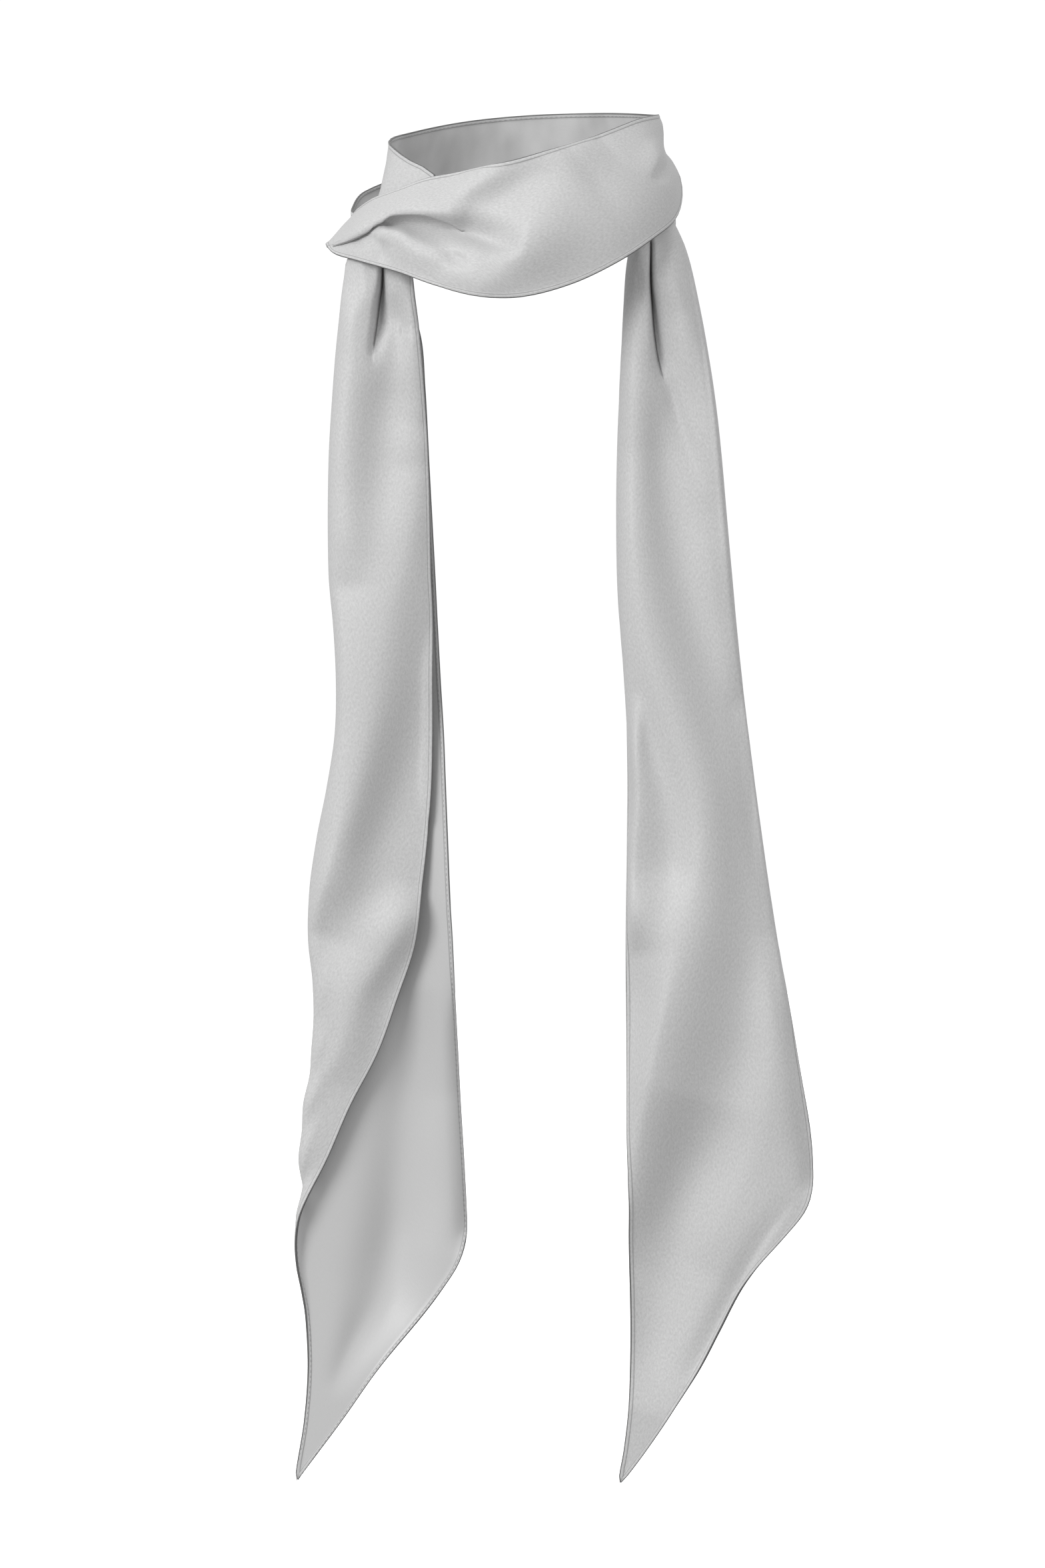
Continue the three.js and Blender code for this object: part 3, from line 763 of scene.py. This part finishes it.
def stitch_tree():
    """Geometry Nodes that set a row of stitches along each line, lying flat on the cloth."""
    tree = bpy.data.node_groups.new("hem_stitching", "GeometryNodeTree")
    for name, kind in (
        ("Geometry", "NodeSocketGeometry"),
        ("Spacing", "NodeSocketFloat"),
        ("Size", "NodeSocketVector"),
        ("Seed", "NodeSocketInt"),
        ("Material", "NodeSocketMaterial"),
    ):
        tree.interface.new_socket(name, in_out="INPUT", socket_type=kind)
    tree.interface.new_socket("Geometry", in_out="OUTPUT", socket_type="NodeSocketGeometry")
    given = add_node(tree, "NodeGroupInput")
    result = add_node(tree, "NodeGroupOutput")
    curve = add_node(tree, "GeometryNodeMeshToCurve")
    places = add_node(tree, "GeometryNodeResampleCurve", mode="LENGTH")
    tangent = add_node(tree, "GeometryNodeInputTangent")
    outward = add_node(
        tree, "GeometryNodeInputNamedAttribute", {"Name": "outward"}, data_type="FLOAT_VECTOR"
    )
    follow = add_node(tree, "FunctionNodeAlignRotationToVector", axis="X")
    flat = add_node(tree, "FunctionNodeAlignRotationToVector", axis="Z", pivot_axis="X")
    sizes = {2: STITCH_SIZES[0], 3: STITCH_SIZES[1]}
    vary = add_node(tree, "FunctionNodeRandomValue", sizes, data_type="FLOAT")
    bead = add_node(tree, "GeometryNodeMeshUVSphere", {"Segments": 6, "Rings": 4, "Radius": 0.5})
    thread = add_node(tree, "GeometryNodeTransform")
    instances = add_node(tree, "GeometryNodeInstanceOnPoints")
    real = add_node(tree, "GeometryNodeRealizeInstances")
    rounded = add_node(tree, "GeometryNodeSetShadeSmooth")
    coloured = add_node(tree, "GeometryNodeSetMaterial")
    link_nodes(
        tree,
        (given, "Geometry", curve, "Mesh"),
        (curve, "Curve", places, "Curve"),
        (given, "Spacing", places, "Length"),
        (tangent, "Tangent", follow, "Vector"),
        (follow, "Rotation", flat, "Rotation"),
        (outward, "Attribute", flat, "Vector"),
        (given, "Seed", vary, "Seed"),
        (bead, "Mesh", thread, "Geometry"),
        (given, "Size", thread, "Scale"),
        (places, "Curve", instances, "Points"),
        (thread, "Geometry", instances, "Instance"),
        (flat, "Rotation", instances, "Rotation"),
        (vary, 1, instances, "Scale"),
        (instances, "Instances", real, "Geometry"),
        (real, "Geometry", rounded, "Geometry"),
        (rounded, "Geometry", coloured, "Geometry"),
        (given, "Material", coloured, "Material"),
        (coloured, "Geometry", result, "Geometry"),
    )
    return tree


def evaluate(obj, tree, values):
    """Runs a tree on an object with values for its named inputs and keeps the plain mesh."""
    modifier = obj.modifiers.new("stitches", "NODES")
    modifier.node_group = tree
    for item in tree.interface.items_tree:
        if item.in_out == "INPUT" and item.name in values:
            modifier[item.identifier] = values[item.name]
    graph = bpy.context.evaluated_depsgraph_get()
    lines = obj.data
    obj.data = bpy.data.meshes.new_from_object(obj.evaluated_get(graph))
    obj.modifiers.remove(modifier)
    bpy.data.meshes.remove(lines)


def cloth_mesh(surface, settings):
    """Closed mesh of the cloth, with raised hems, its outer face in the first material."""
    points = surface["points"]
    rows, columns = points.shape[:2]
    normals = grid_normals(points)
    widths = np.linalg.norm(np.diff(points, axis=1), axis=2)
    place = np.concatenate([np.zeros((rows, 1)), np.cumsum(widths, axis=1)], axis=1)
    total = place[:, -1:]
    from_edge = np.minimum(place, total - place)
    hem = settings.hem_width / MM
    cloth = settings.cloth_thickness / MM
    raised = settings.hem_thickness / MM
    rounding = np.sqrt(np.clip(from_edge / (HEM_ROUNDED * hem), 0, 1))
    in_hem = np.clip((HEM_END * hem - from_edge) / (HEM_STEP * hem), 0, 1)
    half = (cloth + (raised - cloth) * in_hem * (0.4 + 0.6 * rounding)) / 2
    outer = points + normals * half[..., None]
    inner = points - normals * half[..., None]
    verts = np.concatenate([outer.reshape(-1, 3), inner.reshape(-1, 3)]) * MM
    count = rows * columns
    index = np.arange(count).reshape(rows, columns)
    a, b = index[:-1, :-1].ravel(), index[1:, :-1].ravel()
    c, d = index[1:, 1:].ravel(), index[:-1, 1:].ravel()
    faces = [np.column_stack([a, b, c, d]), np.column_stack([a, d, c, b]) + count]
    for rim in (index[::-1, 0], index[:, -1], index[0], index[-1, ::-1]):
        faces.append(np.column_stack([rim[:-1], rim[1:], rim[1:] + count, rim[:-1] + count]))
    slots = np.concatenate([np.full(len(f), i == 1) for i, f in enumerate(faces)])
    faces = np.concatenate(faces)
    mesh = bpy.data.meshes.new("scarf_cloth")
    mesh.from_pydata(verts.tolist(), [], faces.tolist())
    mesh.polygons.foreach_set("material_index", slots.astype(np.int32))
    mesh.polygons.foreach_set("use_smooth", np.ones(len(faces), bool))
    u = np.tile(place.ravel(), 2) * MM
    v = np.tile(np.repeat(surface["alongs"], columns), 2) * MM
    loops = np.empty(len(mesh.loops), np.int32)
    mesh.loops.foreach_get("vertex_index", loops)
    uv = mesh.uv_layers.new(name="cloth")
    uv.data.foreach_set("uv", np.column_stack([u[loops], v[loops]]).astype(np.float32).ravel())
    edge = mesh.attributes.new("edge_distance", "FLOAT", "POINT")
    edge.data.foreach_set("value", np.tile(from_edge.ravel() * MM, 2).astype(np.float32))
    # Mask of the turns round the neck, for the clouds of painted sheen
    turns = mesh.attributes.new("in_turns", "FLOAT", "POINT")
    in_turns = np.tile(np.repeat(surface["in_turns"], columns), 2)
    turns.data.foreach_set("value", in_turns.astype(np.float32))
    mesh.update()
    return mesh


def cloth_material(name, colour, grain, sheen_clouds, roughness, sheen):
    """Satin twill: fine slanting grain in colour and bump, soft clouds of painted sheen in the turns
    round the neck, and dark lines of painted shade along the hems."""
    material = bpy.data.materials.new(name)
    material.use_nodes = True
    tree = material.node_tree
    shader = tree.nodes["Principled BSDF"]
    set_inputs(shader, {"Roughness": roughness, "Specular IOR Level": 0.35})
    set_inputs(shader, {"Sheen Weight": sheen, "Sheen Roughness": 0.45})
    place = add_node(tree, "ShaderNodeUVMap", uv_map="cloth")
    turned = {"Rotation": (0, 0, math.radians(GRAIN_SLANT)), "Scale": GRAIN_SCALE}
    slant = add_node(tree, "ShaderNodeMapping", turned)
    fine = add_node(tree, "ShaderNodeTexNoise", {"Scale": 1, "Detail": 3, "Roughness": 0.6})
    limits = {"From Min": 0.25, "From Max": 0.75, "To Min": 1 - grain, "To Max": 1 + grain}
    tone = add_node(tree, "ShaderNodeMapRange", limits)
    # Soft clouds of painted sheen: slow noise that lightens and darkens the colour in patches, only in the
    # turns
    wide = add_node(tree, "ShaderNodeMapping", {"Scale": SHEEN_CLOUD_SCALE})
    soft = add_node(tree, "ShaderNodeTexNoise", {"Scale": 1, "Detail": 2})
    limits = {"From Min": 0.35, "From Max": 0.65, "To Max": 2}
    strong = add_node(tree, "ShaderNodeMapRange", limits)
    turns = add_node(tree, "ShaderNodeAttribute", attribute_name="in_turns")
    amount = add_node(tree, "ShaderNodeMath", {1: sheen_clouds}, operation="MULTIPLY")
    sheen_cloud = add_node(tree, "ShaderNodeMix", {"A": 1}, data_type="FLOAT")
    grain_and_sheen = add_node(tree, "ShaderNodeMath", operation="MULTIPLY")
    # Painted shade along the hems: a dark line at each rolled edge and another in the groove at the hem's
    # inner side
    edge = add_node(tree, "ShaderNodeAttribute", attribute_name="edge_distance")
    share = add_node(tree, "ShaderNodeMath", {1: HEM_SHADE_REACH}, operation="DIVIDE")
    line = add_node(tree, "ShaderNodeValToRGB")
    ramp = line.color_ramp.elements
    ramp[0].color = (HEM_PAINTED_SHADE[0][1],) * 3 + (1,)
    ramp[1].position = HEM_PAINTED_SHADE[-1][0]
    for position, value in HEM_PAINTED_SHADE[1:-1]:
        ramp.new(position).color = (value,) * 3 + (1,)
    product = add_node(tree, "ShaderNodeMath", operation="MULTIPLY")
    tint = add_node(
        tree,
        "ShaderNodeMix",
        {"Factor": 1, "A": (*colour, 1)},
        data_type="RGBA",
        blend_type="MULTIPLY",
    )
    grey = add_node(tree, "ShaderNodeCombineColor")
    bump = add_node(tree, "ShaderNodeBump", {"Strength": 0.25, "Distance": 0.0002})
    link_nodes(
        tree,
        (place, "UV", slant, "Vector"),
        (slant, "Vector", fine, "Vector"),
        (fine, "Fac", tone, "Value"),
        (place, "UV", wide, "Vector"),
        (wide, "Vector", soft, "Vector"),
        (soft, "Fac", strong, "Value"),
        (strong, "Result", sheen_cloud, "B"),
        (turns, "Fac", amount, 0),
        (amount, "Value", sheen_cloud, "Factor"),
        (tone, "Result", grain_and_sheen, 0),
        (sheen_cloud, "Result", grain_and_sheen, 1),
        (edge, "Fac", share, 0),
        (share, "Value", line, "Fac"),
        (grain_and_sheen, "Value", product, 0),
        (line, "Color", product, 1),
        (product, "Value", grey, "Red"),
        (product, "Value", grey, "Green"),
        (product, "Value", grey, "Blue"),
        (grey, "Color", tint, "B"),
        (tint, "Result", shader, "Base Color"),
        (fine, "Fac", bump, "Height"),
        (bump, "Normal", shader, "Normal"),
    )
    return material


def plain_material(name, colour, roughness, glow=0):
    material = bpy.data.materials.new(name)
    material.use_nodes = True
    shader = material.node_tree.nodes["Principled BSDF"]
    set_inputs(shader, {"Base Color": (*colour, 1), "Roughness": roughness})
    set_inputs(shader, {"Emission Color": (1, 1, 1, 1), "Emission Strength": glow})
    return material


def add_object(name, data):
    obj = bpy.data.objects.new(name, data)
    bpy.context.scene.collection.objects.link(obj)
    return obj


class ScarfClothSettings(bpy.types.PropertyGroup):
    """Sizes and colours of the cloth"""

    cloth_thickness: FloatProperty(
        name="Cloth thickness", description="Thickness of the cloth", default=0.0006, unit="LENGTH"
    )
    hem_width: FloatProperty(
        name="Hem width", description="Width of the rolled hem", default=0.0018, unit="LENGTH"
    )
    hem_thickness: FloatProperty(
        name="Hem thickness", description="Thickness of the hem", default=0.0013, unit="LENGTH"
    )
    face_colour: FloatVectorProperty(
        name="Face colour",
        description="Colour of the outer face",
        default=(0.6, 0.6, 0.6),
        subtype="COLOR",
    )
    reverse_colour: FloatVectorProperty(
        name="Reverse colour",
        description="Colour of the reverse",
        default=(0.6, 0.6, 0.6),
        subtype="COLOR",
    )


class ScarfStitchSettings(bpy.types.PropertyGroup):
    """Sizes and colour of the hem stitches"""

    spacing: FloatProperty(
        name="Stitch spacing",
        description="Distance from one stitch to the next",
        default=0.0026,
        unit="LENGTH",
    )
    length: FloatProperty(
        name="Stitch length", description="Length of a stitch", default=0.0017, unit="LENGTH"
    )
    thread: FloatProperty(
        name="Thread thickness", description="Thickness of the thread", default=0.0003, unit="LENGTH"
    )
    seed: IntProperty(name="Seed", description="Seed for the stitches' lengths", default=7)
    colour: FloatVectorProperty(
        name="Thread colour",
        description="Colour of the thread",
        default=(0.4, 0.4, 0.4),
        subtype="COLOR",
    )


class ScarfStageSettings(bpy.types.PropertyGroup):
    """Sizes of the studio"""

    camera_distance: FloatProperty(
        name="Camera distance",
        description="Distance from the camera to the middle of the scarf",
        default=VIEW_DISTANCE * MM,
        unit="LENGTH",
    )
    view_height: FloatProperty(
        name="View height",
        description="Height of what the camera sees at that distance",
        default=0.784,
        unit="LENGTH",
    )


class SCARF_OT_cloth(bpy.types.Operator):
    """Builds the strip of cloth with its turns, tails, folds, hems and hem stitches"""

    bl_idname = "scarf.cloth"
    bl_label = "Build cloth"

    def execute(self, context):
        settings = context.scene.scarf_cloth
        threads = context.scene.scarf_stitches
        surface = cloth_surface(settings)
        cloth = add_object("scarf_cloth", cloth_mesh(surface, settings))
        # Each face: name, colour, grain, strength of its clouds of painted sheen, roughness and sheen
        looks = [
            ("satin_twill_face", settings.face_colour, 0.13, 0.01, 0.5, 0.2),
            ("satin_twill_reverse", settings.reverse_colour, 0.015, 0.12, 0.34, 0.1),
        ]
        for name, colour, grain, sheen_clouds, roughness, sheen in looks:
            material = cloth_material(name, colour, grain, sheen_clouds, roughness, sheen)
            cloth.data.materials.append(material)
        stitches = add_object("hem_stitches", stitch_lines(surface, settings))
        values = {
            "Spacing": threads.spacing,
            "Size": (threads.length, threads.thread, threads.thread),
            "Seed": threads.seed,
            "Material": plain_material("stitch_thread", threads.colour, 0.6),
        }
        evaluate(stitches, stitch_tree(), values)
        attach(cloth, "root")
        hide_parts("left_tail", "neck_wrap", "right_tail")
        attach(stitches, "root")
        return {"FINISHED"}


class SCARF_OT_stage(bpy.types.Operator):
    """Builds the floor, the lights and the camera"""

    bl_idname = "scarf.stage"
    bl_label = "Build studio"

    def execute(self, context):
        settings = context.scene.scarf_stage
        scene = context.scene
        scene.view_settings.view_transform = "Standard"
        mesh = bpy.data.meshes.new("floor")
        signs = (-1, -1), (1, -1), (1, 1), (-1, 1)
        corners = [(FLOOR_HALF * x, FLOOR_HALF * y, FLOOR_LEVEL) for x, y in signs]
        mesh.from_pydata(corners, [], [(0, 1, 2, 3)])
        floor = add_object("floor", mesh)
        mesh.materials.append(plain_material("pale_floor", (0.9, 0.9, 0.9), 0.8, 0.9))
        floor.visible_diffuse = False
        floor.visible_glossy = False
        world = bpy.data.worlds.new("studio")
        world.use_nodes = True
        scene.world = world
        tree = world.node_tree
        backdrop = tree.nodes["Background"]
        set_inputs(backdrop, {"Color": (1, 1, 1, 1), "Strength": BACKGROUND})
        fill = add_node(tree, "ShaderNodeBackground")
        place = add_node(tree, "ShaderNodeTexCoord")
        axes = add_node(tree, "ShaderNodeSeparateXYZ")
        limits = {"From Min": -0.5, "From Max": 0.4, "To Min": FILL[0], "To Max": FILL[1]}
        above = add_node(tree, "ShaderNodeMapRange", limits)
        path = add_node(tree, "ShaderNodeLightPath")
        either = add_node(tree, "ShaderNodeMixShader")
        result = tree.nodes["World Output"]
        link_nodes(
            tree,
            (place, "Generated", axes, "Vector"),
            (axes, "Z", above, "Value"),
            (above, "Result", fill, "Strength"),
            (path, "Is Camera Ray", either, "Fac"),
            (fill, "Background", either, 1),
            (backdrop, "Background", either, 2),
            (either, "Shader", result, "Surface"),
        )
        for name, place, size, power in LAMPS:
            lamp = bpy.data.lights.new(name, "AREA")
            lamp.size = size
            lamp.energy = power
            obj = add_object(name, lamp)
            obj.location = place
            aim = Vector(LIT_POINT) - Vector(place)
            obj.rotation_euler = aim.to_track_quat("-Z", "Y").to_euler()
        camera = bpy.data.cameras.new("camera")
        camera.lens = camera.sensor_width * settings.camera_distance / settings.view_height
        eye = add_object("camera", camera)
        target = Vector((0, 0, VIEW_CENTRE * MM))
        tilt = math.radians(VIEW_ANGLE)
        back = Vector((0, -math.cos(tilt), math.sin(tilt)))
        eye.location = target + back * settings.camera_distance
        eye.rotation_euler = (-back).to_track_quat("-Z", "Y").to_euler()
        scene.camera = eye
        return {"FINISHED"}


class SCARF_PT_panel(bpy.types.Panel):
    """Settings of the scarf and its studio"""

    bl_label = "Scarf"
    bl_idname = "SCARF_PT_panel"
    bl_space_type = "VIEW_3D"
    bl_region_type = "UI"
    bl_category = "Scarf"

    def draw(self, context):
        scene = context.scene
        for settings in (scene.scarf_cloth, scene.scarf_stitches, scene.scarf_stage):
            for name in settings.__annotations__:
                self.layout.prop(settings, name)
        for operator in (SCARF_OT_cloth, SCARF_OT_stage):
            self.layout.operator(operator.bl_idname)


CLASSES = (
    ScarfClothSettings,
    ScarfStitchSettings,
    ScarfStageSettings,
    SCARF_OT_cloth,
    SCARF_OT_stage,
    SCARF_PT_panel,
)


def register():
    for cls in CLASSES:
        bpy.utils.register_class(cls)
    bpy.types.Scene.scarf_cloth = PointerProperty(type=ScarfClothSettings)
    bpy.types.Scene.scarf_stitches = PointerProperty(type=ScarfStitchSettings)
    bpy.types.Scene.scarf_stage = PointerProperty(type=ScarfStageSettings)


def unregister():
    del bpy.types.Scene.scarf_stage
    del bpy.types.Scene.scarf_stitches
    del bpy.types.Scene.scarf_cloth
    for cls in reversed(CLASSES):
        bpy.utils.unregister_class(cls)


def main():
    register()
    bpy.ops.scarf.cloth()
    bpy.ops.scarf.stage()


if __name__ == "__main__":
    main()
